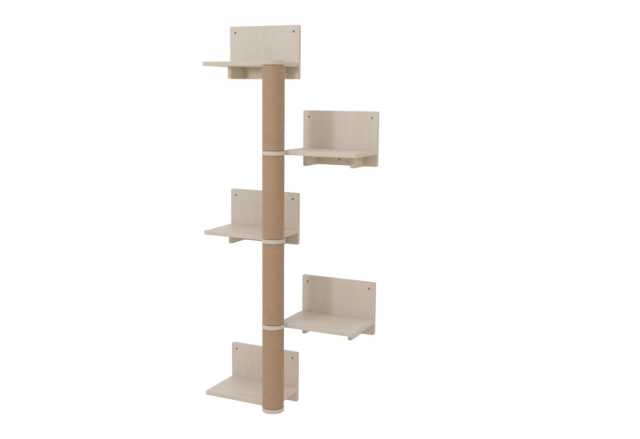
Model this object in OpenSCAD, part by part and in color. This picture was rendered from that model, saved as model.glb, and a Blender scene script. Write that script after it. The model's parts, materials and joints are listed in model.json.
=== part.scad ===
// Cat wall shelf: five plywood steps, left and right in turn, clamped between four rope-wound posts.
// X runs along the wall, Y points into the wall and Z is up. The wall is the plane y = 0.
// The origin is midway between the two upper wall holes of the lowest step.

/* [Plywood] */
// Thickness of every plywood board
board_t = 15; // [12:1:21]
// Width of a back plate and of its shelf board
plate_w = 300; // [260:5:360]
// Height of a back plate above the top of its shelf board
plate_rise = 140; // [100:5:200]
// Height of a back plate and of its brackets below the shelf board
plate_drop = 45; // [44:1:80]
// Distance from the wall to the front edge of a shelf board
shelf_reach = 210; // [190:1:250]
// Radius of the free corners of back plates and shelf boards
corner_r = 5; // [2:1:12]
// Radius that the cutter leaves where a shelf board's lobe meets its straight edges
cutter_r = 4; // [2:1:8]

/* [Brackets] */
// Distance from the side of a back plate to the outer face of a bracket
bracket_inset = 49; // [30:1:70]
// Length of a bracket, from the front of its back plate
bracket_reach = 96; // [84:1:150]

/* [Post] */
// Length of one post, from shelf board to shelf board
post_len = 300; // [250:5:400]
// Outside diameter of the cardboard tube
tube_d = 68; // [62:1:90]
// Wall of the cardboard tube
tube_wall = 4; // [3:0.5:6]
// Thickness of the rope that is wound on the tube
rope_t = 6; // [5:0.5:9]
// How far a shelf board's lobe stands out beyond the rope
lobe_lip = 1; // [0:0.5:3]
// Distance of the post's axis in front of the shelf boards' front edges
post_ahead = 19; // [10:1:26]
// Gap between the left and the right column of back plates
plate_gap = 20; // [10:1:40]
// Thickness of the wooden plug in each end of a tube
plug_t = 18; // [14:1:25]

/* [Wall holes] */
// Diameter of the holes for the wall screws
wall_hole_d = 6; // [4:0.5:8]
// Diameter of their countersinks
wall_sink_d = 10; // [9:0.5:14]
// Distance of the two upper holes from the sides of the back plate
wall_hole_side = 23; // [15:1:60]
// Distance of the two upper holes from the top of the back plate
wall_hole_top = 24; // [15:1:60]
// Distance of the lower middle hole from the underside of the shelf board
wall_hole_low = 22; // [14:1:30]

/* [Fixings] */
// Shank diameter of the screws that hold a back plate to its board and brackets
screw_d = 4; // [3.5:0.5:5]
// Head diameter of those screws
screw_head_d = 8; // [7:0.5:10]
// Length of those screws
screw_len = 45; // [35:5:60]
// Distance of the outer screws from the sides of the shelf board
board_screw_side = 50; // [30:1:80]
// Distance of a bracket's screws from its upper and lower edges
bracket_screw_edge = 12; // [10:1:16]
// Diameter of the dowels between brackets and shelf board
dowel_d = 6; // [5:1:8]
// Length of those dowels
dowel_len = 20; // [16:1:24]
// Depth of the dowels in the shelf board
dowel_depth = 8; // [6:1:9]
// Distance of the front dowel from the front end of its bracket
dowel_end = 14; // [10:1:20]
// Thread diameter of the studs and bolts that clamp the posts
stud_d = 8; // [6:1:10]
// Head diameter of the two bolts
bolt_head_d = 16; // [14:1:20]
// Width across the flats of the bolts' hexagon sockets
bolt_key = 5; // [4:1:6]
// Wall of a nut's barrel round the thread
nut_wall = 1.5; // [1:0.25:2.5]
// Length of a nut's barrel in its plug
nut_len = 12; // [8:1:13]
// Diameter of a nut's flange
nut_flange_d = 22; // [18:1:30]
// Thickness of a nut's flange
nut_flange_t = 1.5; // [1:0.5:3]

/* [Hidden] */
$fn = 48;
step_count = 5;
STEPS = [1:step_count];
MIDDLE_STEPS = [2:step_count - 1];
POSTS = [1:step_count - 1];
SIDES = [[-1, "outer"], [1, "inner"]];

// Clearance round each screw, dowel, plug and nut, and of a stud or bolt in its thread and in wood
fit_clear = 0.1;
thread_clear = 0.05;
stud_clear = 0.5;
// How far the screw and bolt heads lie below the wood's surface, and the height of a head's rim
head_sink = 0.3;
head_rim = 0.5;
// Length of a screw's point, the wood between its point and the first dowel, and a dowel's chamfer
screw_tip = 5;
dowel_wall = 6;
dowel_chamfer = 0.8;
// Width and depth of the cross in a screw's head, and depth of a bolt's hexagon socket
cross_w = 1;
cross_depth = 1.6;
socket_depth = 2.5;
// How far a cutting shape runs past the face that it opens
past = 1;
// How far the round cutter crosses the two edges that it blends, so that none of them only touch
cutter_bite = 0.03;

// The rope's turns lie level and climb to the next in the part of the turn that faces the wall
rope_turns = 24;
rope_rings = 15;
rope_climb_rings = 3;
rope_gap = 0.6;
rope_end_clear = 0.4;
rope_core_clear = 0.2;

wood = "#cbbfb1";
plug_wood = "#d6c4a0";
card = "#b79f80";
rope_colour = "#a98a6e";
steel = "#b9bbbd";

tube_r = tube_d / 2;
rope_r = tube_r + rope_t;
lobe_r = rope_r + lobe_lip;
step_pitch = post_len + board_t;
column_pitch = plate_w + plate_gap;
post_x = column_pitch / 2;
post_y = -(shelf_reach + post_ahead);
plug_r = tube_r - tube_wall - fit_clear;
stud_bite = plug_t + nut_flange_t;
nut_r = stud_d / 2 + thread_clear + nut_wall;
bracket_x = plate_w / 2 - bracket_inset - board_t / 2;

function is_right(n) = n % 2 == 0;
function step_z(n) = wall_hole_top - plate_rise + (n - 1) * step_pitch;

// Places in a step's own frame: x = 0 on its centre line, z = 0 on its shelf board, lobe towards +X
function wall_holes() = concat(
    [for (s = [-1, 1]) [s * (plate_w / 2 - wall_hole_side), plate_rise - wall_hole_top]],
    [[0, -board_t - wall_hole_low]]);
function board_screws() = [for (s = [-1, 0, 1]) [s * (plate_w / 2 - board_screw_side), -board_t / 2]];
function bracket_screws(s) = [
    for (z = [bracket_screw_edge, plate_drop - bracket_screw_edge]) [s * bracket_x, -board_t - z]];
function dowel_places(s) = [
    for (y = [screw_len + dowel_wall + dowel_d / 2, board_t + bracket_reach - dowel_end])
        [s * bracket_x, -y, -board_t]];

// Places

// A step's own frame, mirrored on the right so that the lobe still points to the post
module at_step(n) {
    if (is_right(n)) translate([column_pitch, 0, step_z(n)]) mirror([1, 0, 0]) children();
    else translate([0, 0, step_z(n)]) children();
}

// A post's own frame, standing on the shelf board below it
module at_post(n) {
    translate([post_x, post_y, step_z(n)]) children();
}

// The upper end of a post, with +Z pointing down into it
module from_top() {
    translate([0, 0, post_len]) mirror([0, 0, 1]) children();
}

// From the wall plane towards the room, at places given as [x, z]
module from_wall(places) {
    for (p = places) translate([p[0], 0, p[1]]) rotate([90, 0, 0]) children();
}

module at_places(places) {
    for (p = places) translate(p) children();
}

// Shapes of fixings, each also the cutter of its own hole when grown by a clearance

module screw_shape(grow) {
    top = grow > 0 ? -past : head_sink;
    rim = head_sink + head_rim;
    head_r = screw_head_d / 2;
    shank_r = screw_d / 2;
    rotate_extrude() polygon([
        [0, top], [head_r + grow, top], [head_r + grow, rim],
        [shank_r + grow, rim + head_r - shank_r], [shank_r + grow, screw_len - screw_tip],
        [grow, screw_len], [0, screw_len]]);
}

module dowel_shape(grow) {
    r = dowel_d / 2 + grow;
    low = dowel_depth - dowel_len - grow;
    high = dowel_depth + grow;
    rotate_extrude() polygon([
        [0, low], [r - dowel_chamfer, low], [r, low + dowel_chamfer],
        [r, high - dowel_chamfer], [r - dowel_chamfer, high], [0, high]]);
}

// A countersunk bolt from the outer face of an end board, through its lobe and into the post's nut
module bolt_shape(grow) {
    top = grow > 0 ? -past : head_sink;
    rim = head_sink + head_rim;
    head_r = bolt_head_d / 2;
    shank_r = stud_d / 2;
    rotate_extrude() polygon([
        [0, top], [head_r + grow, top], [head_r + grow, rim],
        [shank_r + grow, rim + head_r - shank_r], [shank_r + grow, board_t + stud_bite],
        [0, board_t + stud_bite]]);
}

// Outlines

// A rectangle with rounded corners, centred on x = 0 and standing on y = 0
module rounded_rectangle(w, h, r) {
    translate([-w / 2, r]) square([w, h - 2 * r]);
    translate([r - w / 2, 0]) square([w - 2 * r, h]);
    for (x = [r - w / 2, w / 2 - r], y = [r, h - r]) translate([x, y]) circle(r);
}

// The fill of the inside corner between a straight edge on y = 0, with its board above, and the lobe,
// whose centre lies beyond the edge by the distance given
module lobe_corner(beyond) {
    away = cutter_r - cutter_bite;
    cutter = [-sqrt(pow(lobe_r + away, 2) - pow(beyond - away, 2)), -away];
    difference() {
        polygon([[cutter[0], past], cutter, [0, -beyond], [0, past]]);
        translate(cutter) circle(cutter_r);
    }
}

module shelf_outline() {
    half = plate_w / 2;
    beside = plate_gap / 2;
    translate([-half, corner_r - shelf_reach]) square([plate_w, shelf_reach - corner_r - board_t]);
    translate([corner_r - half, -shelf_reach]) square([plate_w - corner_r, 2 * corner_r]);
    translate([corner_r - half, corner_r - shelf_reach]) circle(corner_r);
    translate([half + beside, post_y]) circle(lobe_r);
    translate([half + beside, -shelf_reach]) lobe_corner(post_ahead);
    translate([half, post_y]) rotate(90) mirror([1, 0]) lobe_corner(beside);
}

// Sub-parts of a step, in the step's own frame

module back_plate() {
    color(wood) difference() {
        translate([0, 0, -board_t - plate_drop]) rotate([90, 0, 0]) linear_extrude(board_t)
            rounded_rectangle(plate_w, plate_rise + board_t + plate_drop, corner_r);
        from_wall(wall_holes()) wall_hole();
        from_wall(concat(board_screws(), bracket_screws(-1), bracket_screws(1))) screw_shape(fit_clear);
    }
}

module wall_hole() {
    sink = (wall_sink_d - wall_hole_d) / 2;
    translate([0, 0, -past]) cylinder(h = board_t + 2 * past, d = wall_hole_d);
    translate([0, 0, board_t - sink])
        cylinder(h = sink + past, d1 = wall_hole_d, d2 = wall_sink_d + 2 * past);
}

module shelf_board(n) {
    color(wood) difference() {
        translate([0, 0, -board_t]) linear_extrude(board_t) shelf_outline();
        from_wall(board_screws()) screw_shape(fit_clear);
        for (s = SIDES) at_places(dowel_places(s[0])) dowel_shape(fit_clear);
        translate([post_x, post_y, 0]) lobe_hole(n);
    }
}

module lobe_hole(n) {
    if (n == 1) translate([0, 0, -board_t]) bolt_shape(stud_clear);
    else if (n == step_count) mirror([0, 0, 1]) bolt_shape(stud_clear);
    else translate([0, 0, -board_t - past]) cylinder(h = board_t + 2 * past, r = stud_d / 2 + stud_clear);
}

module bracket(s) {
    color(wood) difference() {
        translate([s * bracket_x - board_t / 2, -board_t - bracket_reach, -board_t - plate_drop])
            cube([board_t, bracket_reach, plate_drop]);
        from_wall(bracket_screws(s)) screw_shape(fit_clear);
        at_places(dowel_places(s)) dowel_shape(fit_clear);
    }
}

module plate_screws() {
    color(steel) from_wall(concat(board_screws(), bracket_screws(-1), bracket_screws(1)))
        difference() {
            screw_shape(0);
            for (a = [0, 90]) rotate(a)
                translate([-screw_d / 2, -cross_w / 2, head_sink - past])
                    cube([screw_d, cross_w, cross_depth + past]);
        }
}

module bracket_dowels() {
    color(plug_wood) for (s = SIDES) at_places(dowel_places(s[0])) dowel_shape(0);
}

// Sub-parts of a post, in the post's own frame

module post_tube() {
    color(card) difference() {
        cylinder(h = post_len, r = tube_r);
        translate([0, 0, -past]) cylinder(h = post_len + 2 * past, r = tube_r - tube_wall);
    }
}

module plug() {
    color(plug_wood) difference() {
        cylinder(h = plug_t, r = plug_r);
        translate([0, 0, -past]) cylinder(h = plug_t + 2 * past, r = stud_d / 2 + stud_clear);
        translate([0, 0, plug_t - nut_len - fit_clear])
            cylinder(h = nut_len + fit_clear + past, r = nut_r + fit_clear);
    }
}

module flanged_nut() {
    color(steel) difference() {
        union() {
            translate([0, 0, plug_t - nut_len]) cylinder(h = nut_len, r = nut_r);
            translate([0, 0, plug_t]) cylinder(h = nut_flange_t, d = nut_flange_d);
        }
        cylinder(h = plug_t + nut_flange_t + past, r = stud_d / 2 + thread_clear);
    }
}

module joining_stud() {
    color(steel) translate([0, 0, -board_t - stud_bite])
        cylinder(h = board_t + 2 * stud_bite, d = stud_d);
}

module bolt() {
    color(steel) difference() {
        bolt_shape(0);
        translate([0, 0, head_sink - past])
            cylinder(h = socket_depth + past, d = bolt_key / cos(30), $fn = 6);
    }
}

// The rope: one unbroken tube of triangular section, its ridge outwards, with a ring of three points
// every rope_step degrees. All turns but the short climbs are level, and both ends face the wall.

rope_step = 360 / rope_rings;
rope_count = rope_turns * rope_rings - rope_climb_rings;
rope_pitch = (post_len - 2 * rope_end_clear + rope_gap) / rope_turns;
rope_half = (rope_pitch - rope_gap) / 2;
rope_inner_r = (tube_r + rope_core_clear) / cos(rope_step / 2);

function rope_angle(i) = 90 + rope_climb_rings * rope_step / 2 + i * rope_step;
function rope_z(i) = rope_end_clear + rope_half + rope_pitch * (floor(i / rope_rings)
    + max(0, i % rope_rings - rope_rings + rope_climb_rings) / rope_climb_rings);
function rope_point(i, r, dz) = [r * cos(rope_angle(i)), r * sin(rope_angle(i)), rope_z(i) + dz];
function rope_ring(i) = [
    rope_point(i, rope_inner_r, -rope_half),
    rope_point(i, rope_r, 0),
    rope_point(i, rope_inner_r, rope_half)];

// Distance from a point to the stretch between two others
function to_stretch(p, a, b) =
    let (along = max(0, min(1, (p - a) * (b - a) / ((b - a) * (b - a)))))
    norm(p - a - along * (b - a));

// Least gap from the upper edge of a turn to the lower edge of the next one, at every ring
function rope_least_gap() = min([
    for (i = [0:rope_count - rope_rings - 1], k = [-1, 0])
        to_stretch(rope_point(i, rope_inner_r, rope_half),
            rope_point(i + rope_rings + k, rope_inner_r, -rope_half),
            rope_point(i + rope_rings + k + 1, rope_inner_r, -rope_half))]);

module sisal_rope() {
    echo(rope_least_gap_mm = rope_least_gap());
    points = [for (i = [0:rope_count], p = rope_ring(i)) p];
    skin = [for (i = [0:rope_count - 1], k = [0:2])
        let (a = 3 * i + k, b = 3 * i + (k + 1) % 3)
        each [[a, a + 3, b], [b, a + 3, b + 3]]];
    last = 3 * rope_count;
    color(rope_colour) polyhedron(points, concat([[0, 1, 2]], skin, [[last + 2, last + 1, last]]));
}

for (n = STEPS) {
    at_step(n) back_plate();
    at_step(n) shelf_board(n);
    at_step(n) bracket(-1);
    at_step(n) bracket(1);
    at_step(n) plate_screws();
    at_step(n) bracket_dowels();
}
for (n = POSTS) {
    at_post(n) post_tube();
    at_post(n) sisal_rope();
    at_post(n) plug();
    at_post(n) from_top() plug();
    at_post(n) {
        flanged_nut();
        from_top() flanged_nut();
    }
}
for (n = MIDDLE_STEPS)
    at_post(n) joining_stud();
at_post(1) translate([0, 0, -board_t]) bolt();  // bottom_bolt
at_post(step_count) mirror([0, 0, 1]) bolt();  // top_bolt
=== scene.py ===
"""Cat wall shelf: five plywood steps, left and right in turn, clamped between four rope-wound posts.

Makes the boards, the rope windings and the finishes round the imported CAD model, then a plain studio with its
camera.
"""

import json
import math

import bpy
from mathutils import Matrix, Vector, geometry


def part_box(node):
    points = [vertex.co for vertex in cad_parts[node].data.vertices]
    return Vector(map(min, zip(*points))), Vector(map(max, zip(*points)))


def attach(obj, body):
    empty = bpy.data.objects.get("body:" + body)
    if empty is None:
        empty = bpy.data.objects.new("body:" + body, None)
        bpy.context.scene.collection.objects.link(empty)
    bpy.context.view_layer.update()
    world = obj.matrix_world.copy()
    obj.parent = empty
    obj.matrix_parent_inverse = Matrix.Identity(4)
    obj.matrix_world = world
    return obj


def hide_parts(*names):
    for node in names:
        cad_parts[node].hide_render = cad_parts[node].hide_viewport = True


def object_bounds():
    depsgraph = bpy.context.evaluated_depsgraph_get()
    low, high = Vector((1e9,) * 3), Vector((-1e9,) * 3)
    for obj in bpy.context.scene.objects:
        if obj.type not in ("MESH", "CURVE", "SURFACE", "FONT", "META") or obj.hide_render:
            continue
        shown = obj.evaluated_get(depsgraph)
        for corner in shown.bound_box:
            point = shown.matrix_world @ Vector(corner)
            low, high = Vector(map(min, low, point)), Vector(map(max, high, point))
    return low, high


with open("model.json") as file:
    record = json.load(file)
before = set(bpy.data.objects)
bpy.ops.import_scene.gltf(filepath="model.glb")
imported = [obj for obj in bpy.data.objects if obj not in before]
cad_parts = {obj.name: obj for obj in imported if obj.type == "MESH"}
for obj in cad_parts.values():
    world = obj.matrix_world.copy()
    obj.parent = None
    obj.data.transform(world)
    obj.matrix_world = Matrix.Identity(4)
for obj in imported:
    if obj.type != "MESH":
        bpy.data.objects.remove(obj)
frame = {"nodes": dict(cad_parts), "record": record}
CAD_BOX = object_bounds()

bl_info = {
    "name": "Cat wall shelf",
    "version": (1, 0, 0),
    "blender": (4, 5, 0),
    "location": "3D View > Sidebar > Cat shelf",
    "description": "Plywood steps and rope-wound posts of a cat wall shelf",
    "category": "Object",
}

BODY = "root"
STEPS = range(1, 6)
POSTS = range(1, 5)
MM = 0.001
WOOD = "lacquered_birch_plywood"

# What the CAD says: the boards' thickness, the posts' axis and length, and the radii of the rope's outer face
# and of the lobes
BOARD_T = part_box("shelf_board_1")[1].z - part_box("shelf_board_1")[0].z
TUBE_LOW, TUBE_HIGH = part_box("post_tube_1")
POST_X, POST_Y = (TUBE_LOW.x + TUBE_HIGH.x) / 2, (TUBE_LOW.y + TUBE_HIGH.y) / 2
POST_LEN = TUBE_HIGH.z - TUBE_LOW.z
ROPE_R = POST_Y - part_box("sisal_rope_1")[0].y
LOBE_R = POST_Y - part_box("shelf_board_1")[0].y

# Strands of the rope, and the sides that the rope's section has for each
STRANDS, STRAND_SIDES = 3, 4
# Height of the straight rim round the head of a screw or bolt in its recess
HEAD_RIM = 0.8 * MM
# Chamfer of a wall hole at the back
HOLE_CHAMFER = 0.3 * MM
# How much rounder a plain corner is than the eased edges that go round it
CORNER_SPARE = 0.1 * MM
# How fine the boards' meshes are: how far an arc turns from point to point, the facets of an eased edge, the
# sides of a hole, and the doubled area in square metres under which a triangle is left out as a sliver
ARC_STEP, EASE_FACETS, HOLE_SIDES, SLIVER = math.radians(9), 3, 32, 1e-14
# How far the wood's figure moves on from step to step in each kind of board, and where it starts in the shelf
# boards and in the inner brackets, all in metres
PLATE_SHIFT, SHELF_SHIFT, BRACKET_SHIFT, SHELF_START, INNER_START = 0.71, 0.53, 0.37, 0.2, 0.1
# Half the thickness of the glue line between two plies, drawn thick enough to show
GLUE = 0.14 * MM
# How light the sheets are that the plates and the shelf boards are cut from, from the lowest step up
# How much lighter or darker each plate and shelf board is drawn, from the lowest step up: painted light and
# shade that stands in for how much light reaches each board
PLATE_PAINTED_LIGHT = (1.0, 0.99, 0.94, 1.01, 0.99)
SHELF_PAINTED_LIGHT = (1.02, 1.035, 1.0, 1.035, 0.96)
# How light the wall of a drilled hole is drawn, as a share of the lacquered face: raw wood with painted shade,
# so that the hole looks deep
HOLE_SHADE_TONE = 0.65
# Width of the paper seam of a cardboard tube, and how far it climbs in one turn
SEAM, SEAM_CLIMB = 0.6 * MM, 100 * MM
# Half the floor's width in metres, how strongly it is lit, and how bright it looks: barely more than white
FLOOR_HALF, FLOOR_LIT, FLOOR_SEEN = 40.0, 0.94, 1.03

# Numbers of the Mix node's sockets, because several share a name
FACTOR, A_FLOAT, B_FLOAT, A_VECTOR, B_VECTOR, A_COLOUR, B_COLOUR = 0, 2, 3, 4, 5, 6, 7
VECTOR_RESULT, COLOUR_RESULT = 1, 2


# Small helpers

def linear(colour):
    """An sRGB hex colour as linear red, green, blue and alpha."""
    parts = [int(colour[i:i + 2], 16) / 255 for i in (1, 3, 5)]
    return [c / 12.92 if c <= 0.04045 else ((c + 0.055) / 1.055) ** 2.4 for c in parts] + [1.0]


def add(tree, kind, inputs=(), out=0, **settings):
    """Adds a node and returns one output. Inputs are in order, or by name or number; sockets are linked."""
    node = tree.nodes.new(kind)
    for name, value in settings.items():
        setattr(node, name, value)
    for key, value in inputs.items() if isinstance(inputs, dict) else enumerate(inputs):
        if isinstance(value, bpy.types.NodeSocket):
            tree.links.new(value, node.inputs[key])
        else:
            node.inputs[key].default_value = value
    return node.outputs[out] if node.outputs else node


def pattern(tree, place, across, along):
    """A place measured in a pattern's own sizes: across in x and y, and along in z."""
    scale = (1 / across, 1 / across, 1 / along)
    return add(tree, "ShaderNodeVectorMath", [place, scale], operation="MULTIPLY")


def new_material(name):
    """An empty node material, made anew."""
    old = bpy.data.materials.get(name)
    if old:
        bpy.data.materials.remove(old)
    material = bpy.data.materials.new(name)
    material.use_nodes = True
    material.node_tree.nodes.clear()
    return material


def finish_piece(obj, slot, *nodes):
    """Puts a finished piece on the body, in place of its CAD nodes, which it hides. The slot is not used."""
    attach(obj, BODY)
    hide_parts(*nodes)


def dress(nodes, material):
    """Gives CAD nodes that stay in the scene their finish."""
    for name in nodes:
        mesh = frame["nodes"][name].data
        if not mesh.materials:
            mesh.materials.append(material)
        for i in range(len(mesh.materials)):
            mesh.materials[i] = material


# Sizes and colours that a user would change

class BoardSizes(bpy.types.PropertyGroup):
    """Sizes and colours of the plywood boards"""
    ease: bpy.props.FloatProperty(
        name="Eased edge", description="Radius that sanding leaves on every edge", default=0.8 * MM,
        subtype="DISTANCE")
    corner: bpy.props.FloatProperty(
        name="Corner radius", description="Radius of the free corners", default=5 * MM, subtype="DISTANCE")
    cutter: bpy.props.FloatProperty(
        name="Cutter radius", description="Radius where a lobe meets the straight edges", default=4 * MM,
        subtype="DISTANCE")
    sink: bpy.props.FloatProperty(
        name="Countersink radius", description="Radius of a wall hole at the room side", default=5 * MM,
        subtype="DISTANCE")
    lead: bpy.props.FloatProperty(
        name="Post lead", description="Distance of the posts' axis in front of the boards' front edges",
        default=19 * MM, subtype="DISTANCE")
    screw_head: bpy.props.FloatProperty(
        name="Screw head", description="Radius of the recess for a screw's head", default=4.1 * MM,
        subtype="DISTANCE")
    screw_shank: bpy.props.FloatProperty(
        name="Screw shank", description="Radius of the hole for a screw's shank", default=2.1 * MM,
        subtype="DISTANCE")
    screw_side: bpy.props.FloatProperty(
        name="Screw side", description="Distance of the outer screws from the sides of a plate",
        default=50 * MM, subtype="DISTANCE")
    screw_edge: bpy.props.FloatProperty(
        name="Screw edge", description="Distance of a bracket's screws from its upper and lower edges",
        default=12 * MM, subtype="DISTANCE")
    stud: bpy.props.FloatProperty(
        name="Stud hole", description="Radius of a lobe's hole", default=4.5 * MM, subtype="DISTANCE")
    bolt_head: bpy.props.FloatProperty(
        name="Bolt head", description="Radius of the recess for a bolt's head", default=8.5 * MM,
        subtype="DISTANCE")
    plies: bpy.props.IntProperty(
        name="Plies", description="Veneers in a board, an odd number", default=7, min=3)
    pale: bpy.props.StringProperty(
        name="Pale wood", description="Colour of the face between its figure", default="#d5c7bb")
    warm: bpy.props.StringProperty(
        name="Figured wood", description="Colour of the figure's bands", default="#cfc0b1")
    end: bpy.props.StringProperty(
        name="End grain", description="Colour of plies cut across", default="#c7b3a9")


class RopeSizes(bpy.types.PropertyGroup):
    """Sizes and colours of the rope windings"""
    thick: bpy.props.FloatProperty(
        name="Thickness", description="Thickness of the rope on its tube", default=6 * MM, subtype="DISTANCE")
    broad: bpy.props.FloatProperty(
        name="Breadth", description="Height that a turn would spread to without the turns that press on it",
        default=8.4 * MM, subtype="DISTANCE")
    turns: bpy.props.IntProperty(name="Turns", description="Turns of rope on one post", default=49)
    rings: bpy.props.IntProperty(
        name="Rings", description="Sections of the rope's mesh in one turn", default=112)
    lay: bpy.props.FloatProperty(
        name="Lay", description="Length in which a strand goes once round the rope", default=21 * MM,
        subtype="DISTANCE")
    groove: bpy.props.FloatProperty(
        name="Groove", description="Depth between two strands, as a share of the rope's radius", default=0.12)
    climb: bpy.props.FloatProperty(
        name="Climb", description="Share of an end turn in which it climbs to the next", default=0.2)
    settle: bpy.props.FloatProperty(
        name="Settling turns", description="Turns from an end until the rope climbs evenly", default=9)
    end_gap: bpy.props.FloatProperty(
        name="End gap", description="Gap between an end turn and the board beside it", default=1.3 * MM,
        subtype="DISTANCE")
    fibre: bpy.props.StringProperty(
        name="Fibre", description="Colour of a fibre in the light", default="#c09f83")
    shade: bpy.props.StringProperty(
        name="Dark fibre", description="Colour of the darker yarns", default="#b49073")
    # Painted shade: the rope is drawn in this colour deep between its strands
    gap: bpy.props.StringProperty(
        name="Groove colour", description="Colour deep between strands", default="#9b775b")


class StageSettings(bpy.types.PropertyGroup):
    """Camera and light of the studio"""
    place: bpy.props.FloatVectorProperty(
        name="Camera place", description="Where the camera stands", default=(1.553345, -2.755181, 1.03058),
        subtype="XYZ", unit="LENGTH")
    yaw: bpy.props.FloatProperty(
        name="Yaw", description="Turn of the view to the right", default=math.radians(-25.564),
        subtype="ANGLE")
    pitch: bpy.props.FloatProperty(
        name="Pitch", description="Tilt of the view upwards", default=math.radians(-7.618), subtype="ANGLE")
    roll: bpy.props.FloatProperty(
        name="Roll", description="Turn of the camera round its view", default=math.radians(0.513),
        subtype="ANGLE")
    lens: bpy.props.FloatProperty(name="Lens", description="Focal length in millimetres", default=45.734)
    crop: bpy.props.FloatProperty(
        name="Crop", description="Height of the picture's middle over the lens axis, as a share of its width",
        default=-0.0265)
    key: bpy.props.FloatProperty(
        name="Key light", description="Power of the soft box", default=7.15, unit="POWER")
    key_place: bpy.props.FloatVectorProperty(
        name="Key place", description="Where the soft box stands", default=(-0.39, -1.62, 1.27),
        subtype="XYZ", unit="LENGTH")
    key_size: bpy.props.FloatProperty(
        name="Key size", description="Width of the soft box", default=0.20, subtype="DISTANCE")
    key_colour: bpy.props.StringProperty(
        name="Key colour", description="Colour of the soft box", default="#e5efff")
    ambient: bpy.props.FloatProperty(
        name="Ambient light", description="Strength of the light from all sides", default=1.069)
    high_colour: bpy.props.StringProperty(
        name="Light from above", description="Colour of the ambient light straight above", default="#f4faff")
    low_colour: bpy.props.StringProperty(
        name="Light from below", description="Colour of the ambient light straight below", default="#c2bfb3")
    floor: bpy.props.FloatProperty(
        name="Floor", description="Height of the floor", default=-1.2, subtype="DISTANCE")
    floor_colour: bpy.props.StringProperty(
        name="Floor colour", description="Colour of the floor", default="#e9e2c9")


# Materials

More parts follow.
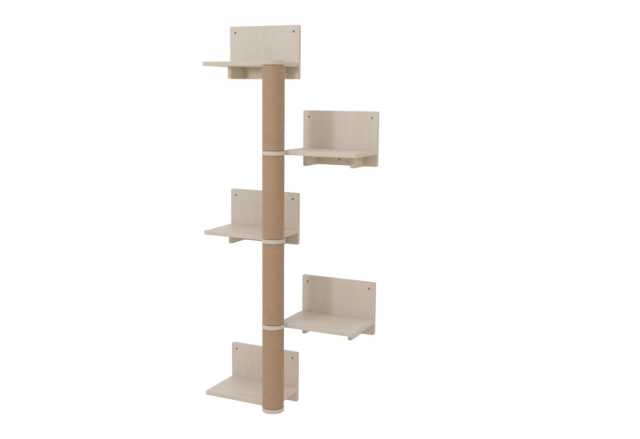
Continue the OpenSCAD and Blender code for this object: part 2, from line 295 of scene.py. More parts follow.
def plywood(sizes):
    """Birch plywood: rotary-cut veneers glued crosswise, sanded and clear lacquered."""
    # Pale faces with a faint figure, and edges striped by plies cut along and across. A 15 mm board has about
    # eleven plies; fewer are drawn, so that the stripes still show at the picture's size.
    material = new_material(WOOD)
    tree = material.node_tree
    board = add(tree, "ShaderNodeAttribute", out="Vector", attribute_name="board")
    end = add(tree, "ShaderNodeAttribute", out="Fac", attribute_name="end_grain")
    painted_light = add(tree, "ShaderNodeAttribute", out="Fac", attribute_name="painted_light_tone")
    parts = add(tree, "ShaderNodeSeparateXYZ", [board]).node.outputs
    depth = add(tree, "ShaderNodeMath", [parts[2], 1 / BOARD_T], operation="MULTIPLY")

    # Through the board's thickness, red marks the plies laid crosswise and green the glue lines
    ramp = add(tree, "ShaderNodeValToRGB", [depth])
    stripes = ramp.node.color_ramp
    stripes.interpolation = "CONSTANT"
    glue = GLUE / BOARD_T
    marks = []
    for i in range(sizes.plies):
        marks.append((i / sizes.plies + (glue if i else 0), (i % 2, 0, 0, 1)))
        if i < sizes.plies - 1:
            marks.append(((i + 1) / sizes.plies - glue, (i % 2, 1, 0, 1)))
    stripes.elements[1].position = 1.0
    for position, colour in marks[1:]:
        stripes.elements.new(position).color = colour
    stripes.elements[0].color = marks[0][1]
    stripes.elements[len(stripes.elements) - 1].color = marks[-1][1]
    crosswise_ply, glue_line, _ = add(tree, "ShaderNodeSeparateColor", [ramp]).node.outputs

    # A ply laid crosswise shows its end grain where the others don't
    cross = add(tree, "ShaderNodeMath", [crosswise_ply, end], operation="SUBTRACT")
    cross = add(tree, "ShaderNodeMath", [cross], operation="ABSOLUTE")
    # The wood's own frame, with its fibres along z: those of a face ply lie along the board's x, and those of
    # a cross ply along its y
    lengthwise = add(tree, "ShaderNodeCombineXYZ", [parts[1], parts[2], parts[0]])
    crosswise = add(tree, "ShaderNodeCombineXYZ", [parts[0], parts[2], parts[1]])
    lie = add(tree, "ShaderNodeMix", {FACTOR: crosswise_ply, A_VECTOR: lengthwise, B_VECTOR: crosswise},
              out=VECTOR_RESULT, data_type="VECTOR")

    # The figure's bands are some 40 mm wide, the veneer's fine streaks 2.4 mm and its pores 0.7 mm
    figure = add(tree, "ShaderNodeTexNoise", {
        "Vector": pattern(tree, lie, 42 * MM, 250 * MM), "Scale": 1.0, "Detail": 3.0, "Roughness": 0.55,
        "Distortion": 0.6})
    streak = add(tree, "ShaderNodeTexNoise", {
        "Vector": pattern(tree, lie, 2.4 * MM, 62 * MM), "Scale": 1.0, "Detail": 4.0, "Roughness": 0.6})
    speck = add(tree, "ShaderNodeTexNoise", {
        "Vector": pattern(tree, lie, 0.67 * MM, 9 * MM), "Scale": 1.0, "Detail": 1.0})
    pore = add(tree, "ShaderNodeMapRange", {"Value": speck, "From Min": 0.66, "From Max": 0.76})
    soft = add(tree, "ShaderNodeMapRange", {"Value": figure, "From Min": 0.34, "From Max": 0.66})
    wood = add(tree, "ShaderNodeMix", {
        FACTOR: soft, A_COLOUR: linear(sizes.pale), B_COLOUR: linear(sizes.warm)},
        out=COLOUR_RESULT, data_type="RGBA")

    # Over the figure lie streaks, pores, plies cut across and glue lines, each with its strength and colour
    fine = add(tree, "ShaderNodeMapRange", {"Value": streak, "From Min": 0.3, "From Max": 0.7})
    layers = ((fine, 0.22, "#cab8a5"), (pore, 0.35, "#aa9077"), (cross, 0.7, sizes.end),
              (glue_line, 0.4, "#9e8167"))
    for mark, strength, colour in layers:
        share = add(tree, "ShaderNodeMath", [mark, strength], operation="MULTIPLY")
        wood = add(tree, "ShaderNodeMix", {FACTOR: share, A_COLOUR: wood, B_COLOUR: linear(colour)},
                   out=COLOUR_RESULT, data_type="RGBA")
    # Painted light and shade: the colour is scaled by how light the board and its holes are drawn
    wood = add(tree, "ShaderNodeVectorMath", {0: wood, "Scale": painted_light}, operation="SCALE")

    # The lacquer is satin on the faces, and sinks into cut ends and leaves them matt
    rough = add(tree, "ShaderNodeMapRange", {
        "Value": streak, "From Min": 0.3, "From Max": 0.7, "To Min": 0.42, "To Max": 0.55})
    rough = add(tree, "ShaderNodeMix", {FACTOR: cross, A_FLOAT: rough, B_FLOAT: 0.75})
    height = add(tree, "ShaderNodeMath", [streak, pore], operation="SUBTRACT")
    bump = add(tree, "ShaderNodeBump", {"Strength": 0.25, "Distance": 0.06 * MM, "Height": height})
    shader = add(tree, "ShaderNodeBsdfPrincipled", {
        "Base Color": wood, "Roughness": rough, "Normal": bump, "IOR": 1.5})
    add(tree, "ShaderNodeOutputMaterial", {"Surface": shader})
    return material


def board_wood(sizes):
    """The boards' plywood, made at its first use."""
    return bpy.data.materials.get(WOOD) or plywood(sizes)


def sisal(sizes):
    """Sisal rope: coarse dry leaf fibres, spun into yarns and laid in three strands."""
    # Matt and straw brown. Yarns of differing tone follow the strands, and stiff fibres lie along the rope.
    material = new_material("sisal_rope")
    tree = material.node_tree
    section = add(tree, "ShaderNodeAttribute", out="Vector", attribute_name="section")
    along = add(tree, "ShaderNodeAttribute", out="Fac", attribute_name="along")
    radius = sizes.broad / 2
    # How deep a point lies between two strands, which sets the painted shade in the grooves
    out = add(tree, "ShaderNodeVectorMath", [section], out="Value", operation="LENGTH")
    deep = add(tree, "ShaderNodeMapRange", {
        "Value": out, "From Min": radius, "From Max": radius * (1 - sizes.groove)})

    # A yarn is about 1 mm wide and follows its strand, and its tone changes over some centimetres of rope
    lift = add(tree, "ShaderNodeCombineXYZ", {"Z": along})
    in_strand = add(tree, "ShaderNodeVectorMath", [section, lift], operation="ADD")
    yarn = add(tree, "ShaderNodeTexNoise", {
        "Vector": pattern(tree, in_strand, 0.9 * MM, 25 * MM), "Scale": 1.0, "Detail": 2.0})
    # Fibres lie along the rope. They are 0.1 mm thick, and drawn about twice as thick, so that they show
    turn = add(tree, "ShaderNodeMath", [along, math.tau / sizes.lay], operation="MULTIPLY")
    level = add(tree, "ShaderNodeVectorRotate", {"Vector": section, "Angle": turn}, rotation_type="Z_AXIS")
    in_rope = add(tree, "ShaderNodeVectorMath", [level, lift], operation="ADD")
    fibre = add(tree, "ShaderNodeTexNoise", {
        "Vector": pattern(tree, in_rope, 0.24 * MM, 4.5 * MM), "Scale": 1.0, "Detail": 2.0,
        "Roughness": 0.65})
    spot = add(tree, "ShaderNodeTexNoise", {
        "Vector": pattern(tree, in_rope, 1.4 * MM, 6.7 * MM), "Scale": 1.0, "Detail": 1.0})
    fleck = add(tree, "ShaderNodeMapRange", {"Value": spot, "From Min": 0.7, "From Max": 0.78})
    tone = add(tree, "ShaderNodeMapRange", {"Value": yarn, "From Min": 0.34, "From Max": 0.66})
    colour = add(tree, "ShaderNodeMix", {
        FACTOR: tone, A_COLOUR: linear(sizes.fibre), B_COLOUR: linear(sizes.shade)},
        out=COLOUR_RESULT, data_type="RGBA")

    # Over the yarns lie bleached fibres, dark flecks and painted shade in the grooves between strands, each
    # with its strength and colour
    bleached = add(tree, "ShaderNodeMapRange", {"Value": fibre, "From Min": 0.42, "From Max": 0.62})
    layers = ((bleached, 0.4, "#d2b59b"), (fleck, 0.6, "#6d4f36"), (deep, 0.5, sizes.gap))
    for mark, strength, over in layers:
        share = add(tree, "ShaderNodeMath", [mark, strength], operation="MULTIPLY")
        colour = add(tree, "ShaderNodeMix", {FACTOR: share, A_COLOUR: colour, B_COLOUR: linear(over)},
                     out=COLOUR_RESULT, data_type="RGBA")

    bump = add(tree, "ShaderNodeBump", {"Strength": 0.6, "Distance": 0.25 * MM, "Height": fibre})
    shader = add(tree, "ShaderNodeBsdfPrincipled", {
        "Base Color": colour, "Roughness": 0.85, "Normal": bump, "IOR": 1.45, "Specular IOR Level": 0.3,
        "Sheen Weight": 0.15, "Sheen Roughness": 0.5})
    add(tree, "ShaderNodeOutputMaterial", {"Surface": shader})
    return material


def zinc_steel():
    """Zinc-plated steel: cold-formed fixings with a blue-grey passivated plating."""
    # Clean grey metal with a satin gloss, mottled in patches of some 4 mm
    material = new_material("zinc_plated_steel")
    tree = material.node_tree
    place = add(tree, "ShaderNodeTexCoord", out="Object")
    cloud = add(tree, "ShaderNodeTexNoise", {"Vector": place, "Scale": 1 / (4 * MM), "Detail": 3.0})
    colour = add(tree, "ShaderNodeMix", {
        FACTOR: cloud, A_COLOUR: linear("#c3c6c9"), B_COLOUR: linear("#a5a9ae")},
        out=COLOUR_RESULT, data_type="RGBA")
    rough = add(tree, "ShaderNodeMapRange", {
        "Value": cloud, "From Min": 0.3, "From Max": 0.7, "To Min": 0.28, "To Max": 0.42})
    shader = add(tree, "ShaderNodeBsdfPrincipled", {
        "Base Color": colour, "Metallic": 1.0, "Roughness": rough})
    add(tree, "ShaderNodeOutputMaterial", {"Surface": shader})
    return material


def beech():
    """Beech: plain turned dowel and plug stock, unfinished."""
    # Pinkish straw colour with short darker flecks along the grain, which stands upright in plugs and dowels
    material = new_material("beech")
    tree = material.node_tree
    place = add(tree, "ShaderNodeTexCoord", out="Object")
    grain = add(tree, "ShaderNodeTexNoise", {
        "Vector": pattern(tree, place, 2 * MM, 33 * MM), "Scale": 1.0, "Detail": 3.0})
    fleck = add(tree, "ShaderNodeTexNoise", {
        "Vector": pattern(tree, place, 0.7 * MM, 2.9 * MM), "Scale": 1.0})
    spot = add(tree, "ShaderNodeMapRange", {"Value": fleck, "From Min": 0.6, "From Max": 0.7, "To Max": 0.5})
    colour = add(tree, "ShaderNodeMix", {
        FACTOR: grain, A_COLOUR: linear("#dcc5a2"), B_COLOUR: linear("#cbb08c")},
        out=COLOUR_RESULT, data_type="RGBA")
    colour = add(tree, "ShaderNodeMix", {FACTOR: spot, A_COLOUR: colour, B_COLOUR: linear("#a9855f")},
                 out=COLOUR_RESULT, data_type="RGBA")
    shader = add(tree, "ShaderNodeBsdfPrincipled", {"Base Color": colour, "Roughness": 0.65, "IOR": 1.5})
    add(tree, "ShaderNodeOutputMaterial", {"Surface": shader})
    return material


def kraft_board():
    """Spiral-wound kraft board: grey-brown paper plies of a cardboard tube."""
    # Matt, with a seam that winds up the tube and fine paper fibres
    material = new_material("kraft_board")
    tree = material.node_tree
    place = add(tree, "ShaderNodeTexCoord", out="Object")
    fibre = add(tree, "ShaderNodeTexNoise", {
        "Vector": place, "Scale": 1 / (1.1 * MM), "Detail": 4.0, "Roughness": 0.7})
    parts = add(tree, "ShaderNodeSeparateXYZ", [place]).node.outputs
    east = add(tree, "ShaderNodeMath", [parts[0], POST_X], operation="SUBTRACT")
    north = add(tree, "ShaderNodeMath", [parts[1], POST_Y], operation="SUBTRACT")
    angle = add(tree, "ShaderNodeMath", [north, east], operation="ARCTAN2")
    climb = add(tree, "ShaderNodeMath", [angle, SEAM_CLIMB / math.tau], operation="MULTIPLY")
    rise = add(tree, "ShaderNodeMath", [parts[2], climb], operation="SUBTRACT")
    wrap = add(tree, "ShaderNodeMath", [rise, SEAM_CLIMB], operation="FLOORED_MODULO")
    seam = add(tree, "ShaderNodeMath", [wrap, SEAM], operation="LESS_THAN")
    colour = add(tree, "ShaderNodeMix", {
        FACTOR: fibre, A_COLOUR: linear("#c0a988"), B_COLOUR: linear("#a88f6f")},
        out=COLOUR_RESULT, data_type="RGBA")
    colour = add(tree, "ShaderNodeMix", {FACTOR: seam, A_COLOUR: colour, B_COLOUR: linear("#7d664b")},
                 out=COLOUR_RESULT, data_type="RGBA")
    shader = add(tree, "ShaderNodeBsdfPrincipled", {"Base Color": colour, "Roughness": 0.9, "IOR": 1.45})
    add(tree, "ShaderNodeOutputMaterial", {"Surface": shader})
    return material


# Boards

def outline(arcs):
    """A closed outline as points with their outward directions. An arc is its centre, radius, and first and
    last angle in degrees; one that runs clockwise is hollow."""
    points = []
    for x, y, radius, first, last in arcs:
        first, last = math.radians(first), math.radians(last)
        count = max(3, round(abs(last - first) / ARC_STEP))
        side = 1 if last > first else -1
        for i in range(count + 1):
            angle = first + (last - first) * i / count
            ray = Vector((math.cos(angle), math.sin(angle)))
            points.append((Vector((x, y)) + ray * radius, ray * side))
    return points


def rectangle(low, high, radius):
    """Outline of a rectangle with round corners."""
    corners = ((low[0], low[1], 1, 1), (high[0], low[1], -1, 1), (high[0], high[1], -1, -1),
               (low[0], high[1], 1, -1))
    return outline([(x + sx * radius, y + sy * radius, radius, 180 + 90 * i, 270 + 90 * i)
                    for i, (x, y, sx, sy) in enumerate(corners)])


def make_board(name, edge, holes, axes, origin, sizes, material, shift, tone=1.0):
    """Makes a board. Its edge is an outline, each hole is a centre and a profile of (depth, radius), and the
    axes say where the grain, the width and the thickness of the board point. The shift says which part of the
    wood's figure it shows, and the tone how much lighter or darker the board is drawn, which is painted light."""
    ease, verts, tones, faces, normals, ends = sizes.ease, [], [], [], [], []

    def ring(points, light=1.0):
        start = len(verts)
        verts.extend(points)
        tones.extend([tone * light] * len(points))
        return range(start, len(verts))

    def wall(low, high, low_normals, high_normals):
        count = len(low)
        for i in range(count):
            j = (i + 1) % count
            faces.append((low[i], low[j], high[j], high[i]))
            normals.append((low_normals[i], low_normals[j], high_normals[j], high_normals[i]))
            ends.append(abs((low_normals[i] + low_normals[j]).x) / 2)

    # The edge, eased at both faces
    profile = []
    for i in range(EASE_FACETS + 1):
        turn = math.radians(90 - 90 / EASE_FACETS * i)
        profile.append((ease * (1 - math.sin(turn)), ease * (1 - math.cos(turn)), turn))
    loops = [[]]
    sides = [(depth, inset, -turn) for depth, inset, turn in profile]
    sides += [(BOARD_T - depth, inset, turn) for depth, inset, turn in reversed(profile)]
    last = None
    for depth, inset, turn in sides:
        points = ring([Vector((p.x - n.x * inset, p.y - n.y * inset, depth)) for p, n in edge])
        faced = [Vector((n.x * math.cos(turn), n.y * math.cos(turn), math.sin(turn))) for _, n in edge]
        if last:
            wall(last[0], points, last[1], faced)
        loops[0].append(points)
        last = (points, faced)

    # The holes: round, with straight and conical stretches
    rays = [Vector((math.cos(-math.tau * i / HOLE_SIDES), math.sin(-math.tau * i / HOLE_SIDES), 0))
            for i in range(HOLE_SIDES)]
    for (x, y), cut in holes:
        loops.append([])
        for i, (depth, radius) in enumerate(cut):
            # Painted shade: the walls inside a hole are drawn darker than the board's faces
            light = HOLE_SHADE_TONE if 0 < i < len(cut) - 1 else 1.0
            points = ring([Vector((x, y, depth)) + ray * radius for ray in rays], light)
            if i:
                slope = (radius - cut[i - 1][1]) / (depth - cut[i - 1][0])
                faced = [(Vector((0, 0, slope)) - ray).normalized() for ray in rays]
                wall(loops[-1][-1], points, faced, faced)
            loops[-1].append(points)

    # The two faces, filled round their holes
    for which, up in ((0, -1), (-1, 1)):
        chains = [[verts[i] for i in loop[which]] for loop in loops]
        numbers = [i for loop in loops for i in loop[which]]
        for tri in geometry.tessellate_polygon([[(p.x, p.y, 0) for p in chain] for chain in chains]):
            a, b, c = (numbers[i] for i in tri)
            doubled = (verts[b] - verts[a]).cross(verts[c] - verts[a]).z
            if abs(doubled) < SLIVER:
                continue
            faces.append((a, b, c) if doubled * up > 0 else (a, c, b))
            normals.append((Vector((0, 0, up)),) * 3)
            ends.append(0.0)

    place = Matrix([Vector(a) for a in axes]).transposed()
    if place.determinant() < 0:
        faces = [tuple(reversed(f)) for f in faces]
        normals = [tuple(reversed(n)) for n in normals]
    mesh = bpy.data.meshes.new(name)
    mesh.from_pydata([place @ v + Vector(origin) for v in verts], [], faces)
    # What the wood's pattern reads: the place on the board, how squarely a face cuts the grain, and the
    # painted light and shade of the board and of its holes
    board = mesh.attributes.new("board", "FLOAT_VECTOR", "POINT")
    board.data.foreach_set("vector", [c for v in verts for c in (v.x + shift, v.y + 2 * shift, v.z)])
    grain = mesh.attributes.new("end_grain", "FLOAT", "FACE")
    grain.data.foreach_set("value", ends)
    painted_light = mesh.attributes.new("painted_light_tone", "FLOAT", "POINT")
    painted_light.data.foreach_set("value", tones)
    mesh.materials.append(material)
    mesh.shade_smooth()
    mesh.normals_split_custom_set([place @ n for corner in normals for n in corner])
    obj = bpy.data.objects.new(name, mesh)
    bpy.context.scene.collection.objects.link(obj)
    return obj


def screw_profile(head, shank):
    """A screw's or bolt's hole through a board as (depth, radius), from its head's rim over the cone to the
    shank."""
    return [(0.0, head), (HEAD_RIM, head), (HEAD_RIM + head - shank, shank), (BOARD_T, shank)]


def make_plate(n, sizes, material):
    """Back plate of one step, with its three wall holes and the recesses of the screws behind."""
    low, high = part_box(f"back_plate_{n}")
    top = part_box(f"shelf_board_{n}")[1].z
    mid = (low.x + high.x) / 2
    mounts = {m["name"]: m for m in frame["record"]["mounts"]}
    pair, single = mounts[f"wall_holes_{n}"], mounts[f"low_hole_{n}"]
    bore = pair["dims"]["hole_r_mm"] * MM
    apart = pair["dims"]["spacing_x_mm"] * MM / 2
    sink = sizes.sink
    through = [(0.0, bore + HOLE_CHAMFER), (HOLE_CHAMFER, bore), (BOARD_T - (sink - bore), bore),
               (BOARD_T, sink)]
    # The grain runs upwards, so that a place on the plate is its height, then its x
    holes = [((z, x), through) for x, z in (
        (pair["pos_m"][0] - apart, pair["pos_m"][2]), (pair["pos_m"][0] + apart, pair["pos_m"][2]),
        (single["pos_m"][0], single["pos_m"][2]))]
    back = screw_profile(sizes.screw_head, sizes.screw_shank)
    outer = (high.x - low.x) / 2 - sizes.screw_side
    holes += [((top - BOARD_T / 2, mid + x), back) for x in (-outer, 0.0, outer)]
    for side in ("outer", "inner"):
        a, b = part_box(f"bracket_{side}_{n}")
        holes += [((z, (a.x + b.x) / 2), back) for z in (a.z + sizes.screw_edge, b.z - sizes.screw_edge)]
    edge = rectangle((low.z, low.x), (high.z, high.x), sizes.corner)
    obj = make_board(f"plate_{n}", edge, holes, ((0, 0, 1), (1, 0, 0), (0, -1, 0)), (0, 0, 0), sizes,
                     material, PLATE_SHIFT * n, PLATE_PAINTED_LIGHT[n - 1])
    finish_piece(obj, "birch_plywood", f"back_plate_{n}")


def make_shelf(n, sizes, material):
    """Shelf board of one step, with the round lobe that a post stands on."""
    low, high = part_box(f"shelf_board_{n}")
    plate_low, plate_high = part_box(f"back_plate_{n}")
    mid = (plate_low.x + plate_high.x) / 2
    half = (plate_high.x - plate_low.x) / 2
    side = 1 if POST_X > mid else -1
    back = high.y
    lobe = (abs(POST_X - mid), POST_Y)
    front = POST_Y + sizes.lead
    r, ease, corner = sizes.cutter, sizes.ease + CORNER_SPARE, sizes.corner
    # The cutter's centres beside the front edge and the inner side, its radius away from edge and lobe
    reach = LOBE_R + r
    by_front = (lobe[0] - math.sqrt(reach ** 2 - (front - r - lobe[1]) ** 2), front - r)
    by_side = (half + r, lobe[1] + math.sqrt(reach ** 2 - (half + r - lobe[0]) ** 2))
    to_lobe = [math.degrees(math.atan2(lobe[1] - c[1], lobe[0] - c[0])) for c in (by_front, by_side)]
    edge = outline([
        (-half + ease, back - ease, ease, 90, 180),
        (-half + corner, front + corner, corner, 180, 270),
        (*by_front, r, 90, to_lobe[0]),
        (*lobe, LOBE_R, to_lobe[0] + 180, to_lobe[1] + 540),
        (*by_side, r, to_lobe[1] + 360, 180),
        (half - ease, back - ease, ease, 0, 90)])
    # The end steps have a bolt with its head outwards, the others only a stud
    cut = screw_profile(sizes.bolt_head, sizes.stud)
    if n == STEPS[-1]:
        cut = [(BOARD_T - depth, radius) for depth, radius in reversed(cut)]
    elif n != STEPS[0]:
        cut = [(0.0, sizes.stud), (BOARD_T, sizes.stud)]
    obj = make_board(f"shelf_{n}", edge, [(lobe, cut)], ((side, 0, 0), (0, 1, 0), (0, 0, 1)), (mid, 0, low.z),
                     sizes, material, SHELF_SHIFT * n + SHELF_START, SHELF_PAINTED_LIGHT[n - 1])
    finish_piece(obj, "birch_plywood", f"shelf_board_{n}")


def make_bracket(n, side, sizes, material):
    """Bracket on edge under a shelf board."""
    low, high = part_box(f"bracket_{side}_{n}")
    edge = rectangle((low.y, low.z), (high.y, high.z), sizes.ease + CORNER_SPARE)
    obj = make_board(f"support_{side}_{n}", edge, [], ((0, 1, 0), (0, 0, 1), (1, 0, 0)), (low.x, 0, 0), sizes,
                     material, BRACKET_SHIFT * n + (INNER_START if side == "inner" else 0.0))
    finish_piece(obj, "birch_plywood", f"bracket_{side}_{n}")


# Rope

def rope_tree(material):
    """Geometry nodes that wind a three-strand rope round a post."""
    tree = bpy.data.node_groups.new("rope_winding", "GeometryNodeTree")
    face = tree.interface
    face.new_socket("Geometry", in_out="OUTPUT", socket_type="NodeSocketGeometry")
    for kind, names in (("Vector", ("Foot",)),
                        ("Float", ("Winding radius", "Post length", "Rope radius", "Flattening")),
                        ("Int", ("Turns", "Rings per turn", "Sides")),
                        ("Float", ("Lay", "Groove", "Climb", "Settling turns", "Start angle", "End gap"))):
        for name in names:
            face.new_socket(name, in_out="INPUT", socket_type=f"NodeSocket{kind}")
    given = add(tree, "NodeGroupInput").node.outputs

    # Where each point of the rope is along its turns: the number of its turn, and how far round that turn.
    # The line has one point more than steps, and half a point more makes its count round to the nearest.
    last = add(tree, "ShaderNodeMath", [given["Turns"], given["Climb"]], operation="SUBTRACT")
    steps = add(tree, "ShaderNodeMath", [last, given["Rings per turn"]], operation="MULTIPLY")
    count = add(tree, "ShaderNodeMath", [steps, 1.5], operation="ADD")
    line = add(tree, "GeometryNodeMeshLine", {"Count": count, "Offset": (0.0, 0.0, 0.0)})
    index = add(tree, "GeometryNodeInputIndex")
    gone = add(tree, "ShaderNodeMath", [index, given["Rings per turn"]], operation="DIVIDE")
    turn = add(tree, "ShaderNodeMath", [gone], operation="FLOOR")
    part = add(tree, "ShaderNodeMath", [gone, turn], operation="SUBTRACT")
    # The end turns lie level on the boards and climb on the side that faces the wall; the others climb evenly
    top_turn = add(tree, "ShaderNodeMath", [given["Turns"], 1.0], operation="SUBTRACT")
    to_top = add(tree, "ShaderNodeMath", [top_turn, turn], operation="SUBTRACT")
    to_end = add(tree, "ShaderNodeMath", [turn, to_top], operation="MINIMUM")
    width = add(tree, "ShaderNodeMapRange", {
        "Value": to_end, "From Min": 0.0, "From Max": given["Settling turns"], "To Min": given["Climb"],
        "To Max": 1.0})
    level = add(tree, "ShaderNodeMath", [1.0, width], operation="SUBTRACT")
    climbed = add(tree, "ShaderNodeMapRange", {"Value": part, "From Min": level, "From Max": 1.0})
    foot = add(tree, "ShaderNodeMath", [given["Rope radius"], given["End gap"]], operation="ADD")
    both_ends = add(tree, "ShaderNodeMath", [foot, 2.0], operation="MULTIPLY")
    span = add(tree, "ShaderNodeMath", [given["Post length"], both_ends], operation="SUBTRACT")
    pitch = add(tree, "ShaderNodeMath", [span, top_turn], operation="DIVIDE")
    risen = add(tree, "ShaderNodeMath", [turn, climbed], operation="ADD")
    height = add(tree, "ShaderNodeMath", [risen, pitch, foot], operation="MULTIPLY_ADD")
    angle = add(tree, "ShaderNodeMath", [gone, math.tau, given["Start angle"]], operation="MULTIPLY_ADD")
    east = add(tree, "ShaderNodeMath", [angle], operation="COSINE")
    north = add(tree, "ShaderNodeMath", [angle], operation="SINE")
    round_post = add(tree, "ShaderNodeVectorMath", {
        0: add(tree, "ShaderNodeCombineXYZ", [east, north, 0.0]), "Scale": given["Winding radius"]},
        operation="SCALE")
    place = add(tree, "ShaderNodeVectorMath", [round_post, add(tree, "ShaderNodeCombineXYZ", {"Z": height})],
                operation="ADD")
    place = add(tree, "ShaderNodeVectorMath", [place, given["Foot"]], operation="ADD")
    path = add(tree, "GeometryNodeSetPosition", {"Geometry": line, "Position": place})
    path = add(tree, "GeometryNodeMeshToCurve", {"Mesh": path})
    along = add(tree, "GeometryNodeSplineParameter", out="Length")
    path = add(tree, "GeometryNodeStoreNamedAttribute", {"Geometry": path, "Name": "along", "Value": along},
               data_type="FLOAT", domain="POINT")
    path = add(tree, "GeometryNodeSetCurveNormal", {"Curve": path}, mode="Z_UP")
    lays = add(tree, "ShaderNodeMath", [along, given["Lay"]], operation="DIVIDE")
    twist = add(tree, "ShaderNodeMath", [lays, math.tau], operation="MULTIPLY")
    path = add(tree, "GeometryNodeSetCurveTilt", {"Curve": path, "Tilt": twist})

    # The rope's section: three round strands with a groove between each two, as the index goes once round it
    ring = add(tree, "GeometryNodeCurvePrimitiveCircle", {"Resolution": given["Sides"], "Radius": 1.0})
    share = add(tree, "ShaderNodeMath", [index, given["Sides"]], operation="DIVIDE")
    wave = add(tree, "ShaderNodeMath", [share, STRANDS * math.pi], operation="MULTIPLY")
    strand = add(tree, "ShaderNodeMath", [wave], operation="COSINE")
    strand = add(tree, "ShaderNodeMath", [strand], operation="ABSOLUTE")
    dip = add(tree, "ShaderNodeMath", [strand, 1.0], operation="SUBTRACT")
    bulge = add(tree, "ShaderNodeMath", [dip, given["Groove"], 1.0], operation="MULTIPLY_ADD")
    reach = add(tree, "ShaderNodeMath", [bulge, given["Rope radius"]], operation="MULTIPLY")
    here = add(tree, "GeometryNodeInputPosition")
    ring = add(tree, "GeometryNodeSetPosition", {"Geometry": ring, "Position": add(
        tree, "ShaderNodeVectorMath", {0: here, "Scale": reach}, operation="SCALE")})
    ring = add(tree, "GeometryNodeStoreNamedAttribute", {"Geometry": ring, "Name": "section", "Value": here},
               data_type="FLOAT_VECTOR", domain="POINT")

    rope = add(tree, "GeometryNodeCurveToMesh", {"Curve": path, "Profile Curve": ring, "Fill Caps": True})
    # Wound tight, the rope is flatter towards the post than along it
    off = add(tree, "ShaderNodeVectorMath", [here, given["Foot"]], operation="SUBTRACT")
    off = add(tree, "ShaderNodeVectorMath", [off, (1.0, 1.0, 0.0)], operation="MULTIPLY")
    away = add(tree, "ShaderNodeVectorMath", [off], out="Value", operation="LENGTH")
    beyond = add(tree, "ShaderNodeMath", [away, given["Winding radius"]], operation="SUBTRACT")
    inward = add(tree, "ShaderNodeMath", [beyond, given["Flattening"]], operation="MULTIPLY")
    off = add(tree, "ShaderNodeVectorMath", [off], operation="NORMALIZE")
    off = add(tree, "ShaderNodeVectorMath", {0: off, "Scale": inward}, operation="SCALE")
    rope = add(tree, "GeometryNodeSetPosition", {"Geometry": rope, "Offset": off})
    rope = add(tree, "GeometryNodeSetShadeSmooth", {"Geometry": rope})
    rope = add(tree, "GeometryNodeRealizeInstances", {"Geometry": rope})
    rope = add(tree, "GeometryNodeSetMaterial", {"Geometry": rope, "Material": material})
    add(tree, "NodeGroupOutput", [rope])
    return tree


def make_rope(n, sizes, tree):
    """Rope winding of one post, as a plain mesh."""
    low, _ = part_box(f"post_tube_{n}")
    # The first turn starts half its climb past the wall's side, so that both end turns climb on that side
    start = math.radians(90) + math.pi * sizes.climb
    values = {"Foot": (POST_X, POST_Y, low.z), "Winding radius": ROPE_R - sizes.thick / 2,
              "Post length": POST_LEN, "Rope radius": sizes.broad / 2,
              "Flattening": sizes.thick / sizes.broad - 1, "Turns": sizes.turns,
              "Rings per turn": sizes.rings, "Sides": STRANDS * STRAND_SIDES, "Lay": sizes.lay,
              "Groove": sizes.groove, "Climb": sizes.climb, "Settling turns": sizes.settle,
              "Start angle": start, "End gap": sizes.end_gap}
    obj = bpy.data.objects.new(f"rope_winding_{n}", bpy.data.meshes.new("rope_start"))
    bpy.context.scene.collection.objects.link(obj)
    modifier = obj.modifiers.new("winding", "NODES")
    modifier.node_group = tree
    for item in tree.interface.items_tree:
        if item.in_out == "INPUT":
            modifier[item.identifier] = values[item.name]
    obj.update_tag()
    mesh = bpy.data.meshes.new_from_object(obj.evaluated_get(bpy.context.evaluated_depsgraph_get()))
    obj.modifiers.remove(modifier)
    mesh.name = obj.name
    obj.data = mesh
    finish_piece(obj, "sisal", f"sisal_rope_{n}")


# Camera, floor and light

def make_camera(settings):
    """The camera of the picture's view."""
    data = bpy.data.cameras.new("view")
    data.sensor_width = 36.0
    data.lens = settings.lens
    data.shift_y = settings.crop
    camera = bpy.data.objects.new("view", data)
    bpy.context.scene.collection.objects.link(camera)
    bpy.context.scene.camera = camera
    yaw, pitch, roll = settings.yaw, settings.pitch, settings.roll
    ahead = Vector((math.sin(yaw) * math.cos(pitch), math.cos(yaw) * math.cos(pitch), math.sin(pitch)))
    right = Vector((math.cos(yaw), -math.sin(yaw), 0.0))
    up = right.cross(ahead)
    right, up = right * math.cos(roll) + up * math.sin(roll), up * math.cos(roll) - right * math.sin(roll)
    turn = Matrix([right, up, -ahead]).transposed().to_4x4()
    camera.matrix_world = Matrix.Translation(settings.place) @ turn


def seen_directly(tree):
    """1 for rays from the camera, gloss or glass, which see the white background, and 0 for other rays."""
    path = add(tree, "ShaderNodeLightPath").node.outputs
    glossy = add(tree, "ShaderNodeMath", [path["Is Camera Ray"], path["Is Glossy Ray"]], operation="ADD")
    return add(tree, "ShaderNodeMath", [glossy, path["Is Transmission Ray"]], operation="ADD", use_clamp=True)


def make_floor(settings):
    """A wide pale floor, well below the shelf, that runs into the white background and keeps shadows."""
    mesh = bpy.data.meshes.new("floor")
    signs = ((-1, -1), (1, -1), (1, 1), (-1, 1))
    corners = [(FLOOR_HALF * x, FLOOR_HALF * y, settings.floor) for x, y in signs]
    mesh.from_pydata(corners, [], [(0, 1, 2, 3)])
    material = new_material("studio_floor")
    tree = material.node_tree
    colour = linear(settings.floor_colour)
    matt = add(tree, "ShaderNodeBsdfDiffuse", {"Color": colour})
    # Seen directly, the floor gets what its light lacks to be as white as the background, and hardly more: a
    # floor brighter than white would eat into the edges in front of it
    lack = [FLOOR_SEEN - FLOOR_LIT * part for part in colour[:3]] + [1.0]
    glow = add(tree, "ShaderNodeEmission", {"Color": lack, "Strength": seen_directly(tree)})
    shader = add(tree, "ShaderNodeAddShader", [matt, glow])
    add(tree, "ShaderNodeOutputMaterial", {"Surface": shader})
    mesh.materials.append(material)
    floor = bpy.data.objects.new("floor", mesh)
    bpy.context.scene.collection.objects.link(floor)


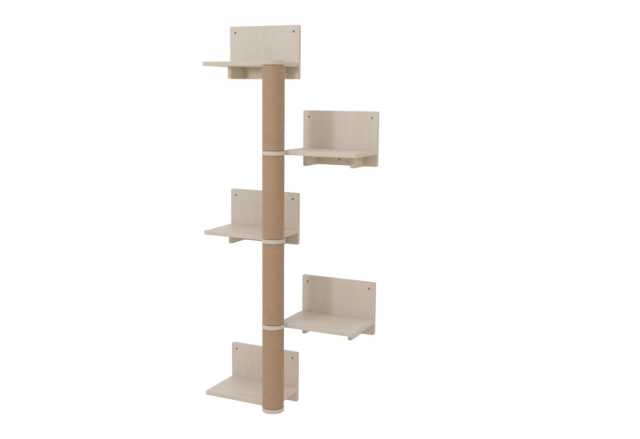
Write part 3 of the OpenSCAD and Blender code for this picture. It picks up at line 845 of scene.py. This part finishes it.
def make_light(settings):
    """A soft box at the left front, as high as the highest step, and even light that is dimmer from below."""
    data = bpy.data.lights.new("key", "AREA")
    data.shape = "DISK"
    data.energy = settings.key
    data.size = settings.key_size
    data.color = linear(settings.key_colour)[:3]
    lamp = bpy.data.objects.new("key", data)
    bpy.context.scene.collection.objects.link(lamp)
    lamp.location = settings.key_place
    middle = (CAD_BOX[0] + CAD_BOX[1]) / 2
    lamp.rotation_euler = (lamp.location - middle).to_track_quat("Z", "Y").to_euler()
    world = bpy.data.worlds.new("studio")
    bpy.context.scene.world = world
    world.use_nodes = True
    tree = world.node_tree
    tree.nodes.clear()
    way = add(tree, "ShaderNodeSeparateXYZ", [add(tree, "ShaderNodeTexCoord", out="Object")], out="Z")
    upward = add(tree, "ShaderNodeMapRange", {"Value": way, "From Min": -1.0, "From Max": 1.0})
    sky = add(tree, "ShaderNodeMix", {
        FACTOR: upward, A_COLOUR: linear(settings.low_colour), B_COLOUR: linear(settings.high_colour)},
        out=COLOUR_RESULT, data_type="RGBA")
    even = add(tree, "ShaderNodeBackground", {"Color": sky, "Strength": settings.ambient})
    white = add(tree, "ShaderNodeBackground", {"Color": (1, 1, 1, 1), "Strength": 1.0})
    both = add(tree, "ShaderNodeMixShader", [seen_directly(tree), even, white])
    add(tree, "ShaderNodeOutputWorld", {"Surface": both})


# Operators: one for each group of like pieces, and one for the stage

class CATSHELF_OT_plates(bpy.types.Operator):
    """Makes the five back plates"""
    bl_idname = "cat_shelf.plates"
    bl_label = "Back plates"

    def execute(self, context):
        sizes = context.scene.cat_shelf_boards
        for n in STEPS:
            make_plate(n, sizes, board_wood(sizes))
        return {"FINISHED"}


class CATSHELF_OT_shelves(bpy.types.Operator):
    """Makes the five shelf boards with their lobes"""
    bl_idname = "cat_shelf.shelves"
    bl_label = "Shelf boards"

    def execute(self, context):
        sizes = context.scene.cat_shelf_boards
        for n in STEPS:
            make_shelf(n, sizes, board_wood(sizes))
        return {"FINISHED"}


class CATSHELF_OT_brackets(bpy.types.Operator):
    """Makes the ten brackets"""
    bl_idname = "cat_shelf.brackets"
    bl_label = "Brackets"

    def execute(self, context):
        sizes = context.scene.cat_shelf_boards
        for n in STEPS:
            for side in ("outer", "inner"):
                make_bracket(n, side, sizes, board_wood(sizes))
        return {"FINISHED"}


class CATSHELF_OT_ropes(bpy.types.Operator):
    """Winds the rope of the four posts"""
    bl_idname = "cat_shelf.ropes"
    bl_label = "Rope windings"

    def execute(self, context):
        sizes = context.scene.cat_shelf_ropes
        tree = rope_tree(sisal(sizes))
        for n in POSTS:
            make_rope(n, sizes, tree)
        return {"FINISHED"}


class CATSHELF_OT_cores(bpy.types.Operator):
    """Finishes the tubes, plugs and dowels that the CAD gives"""
    bl_idname = "cat_shelf.cores"
    bl_label = "Tubes, plugs and dowels"

    def execute(self, context):
        dress([f"post_tube_{n}" for n in POSTS], kraft_board())
        wooden = [f"{end}_plug_{n}" for n in POSTS for end in ("lower", "upper")]
        dress(wooden + [f"bracket_dowels_{n}" for n in STEPS], beech())
        return {"FINISHED"}


class CATSHELF_OT_fixings(bpy.types.Operator):
    """Finishes the screws, nuts, studs and bolts that the CAD gives"""
    bl_idname = "cat_shelf.fixings"
    bl_label = "Metal fixings"

    def execute(self, context):
        kinds = ("flanged", "joining", "bottom", "top")
        metal = [name for name in frame["nodes"] if name.split("_")[0] in kinds]
        dress(metal + [f"plate_screws_{n}" for n in STEPS], zinc_steel())
        return {"FINISHED"}


class CATSHELF_OT_stage(bpy.types.Operator):
    """Sets up the camera, the floor and the studio light"""
    bl_idname = "cat_shelf.stage"
    bl_label = "Stage"

    def execute(self, context):
        settings = context.scene.cat_shelf_stage
        make_camera(settings)
        make_floor(settings)
        make_light(settings)
        context.scene.view_settings.view_transform = "Standard"
        return {"FINISHED"}


# The operators in order, the settings and the panel

ACTIONS = (CATSHELF_OT_plates, CATSHELF_OT_shelves, CATSHELF_OT_brackets, CATSHELF_OT_ropes,
           CATSHELF_OT_cores, CATSHELF_OT_fixings, CATSHELF_OT_stage)
GROUPS = {"cat_shelf_boards": BoardSizes, "cat_shelf_ropes": RopeSizes, "cat_shelf_stage": StageSettings}


class CATSHELF_PT_panel(bpy.types.Panel):
    """Lists the steps that make the shelf, and its settings"""
    bl_idname = "CATSHELF_PT_panel"
    bl_label = "Cat wall shelf"
    bl_space_type = "VIEW_3D"
    bl_region_type = "UI"
    bl_category = "Cat shelf"

    def draw(self, context):
        for action in ACTIONS:
            self.layout.operator(action.bl_idname)
        for key in GROUPS:
            group = getattr(context.scene, key)
            box = self.layout.box()
            for name in group.bl_rna.properties.keys():
                if name not in ("rna_type", "name"):
                    box.prop(group, name)


def register():
    """Registers the classes and puts the settings on the scene."""
    for cls in (*GROUPS.values(), *ACTIONS, CATSHELF_PT_panel):
        bpy.utils.register_class(cls)
    for name, cls in GROUPS.items():
        setattr(bpy.types.Scene, name, bpy.props.PointerProperty(type=cls))


def unregister():
    """Takes the settings and the classes away again."""
    for name in GROUPS:
        delattr(bpy.types.Scene, name)
    for cls in reversed((*GROUPS.values(), *ACTIONS, CATSHELF_PT_panel)):
        bpy.utils.unregister_class(cls)


def main():
    """Makes the whole shelf and its stage."""
    register()
    for action in ACTIONS:
        getattr(bpy.ops.cat_shelf, action.bl_idname.split(".")[1])()


if __name__ == "__main__":
    main()
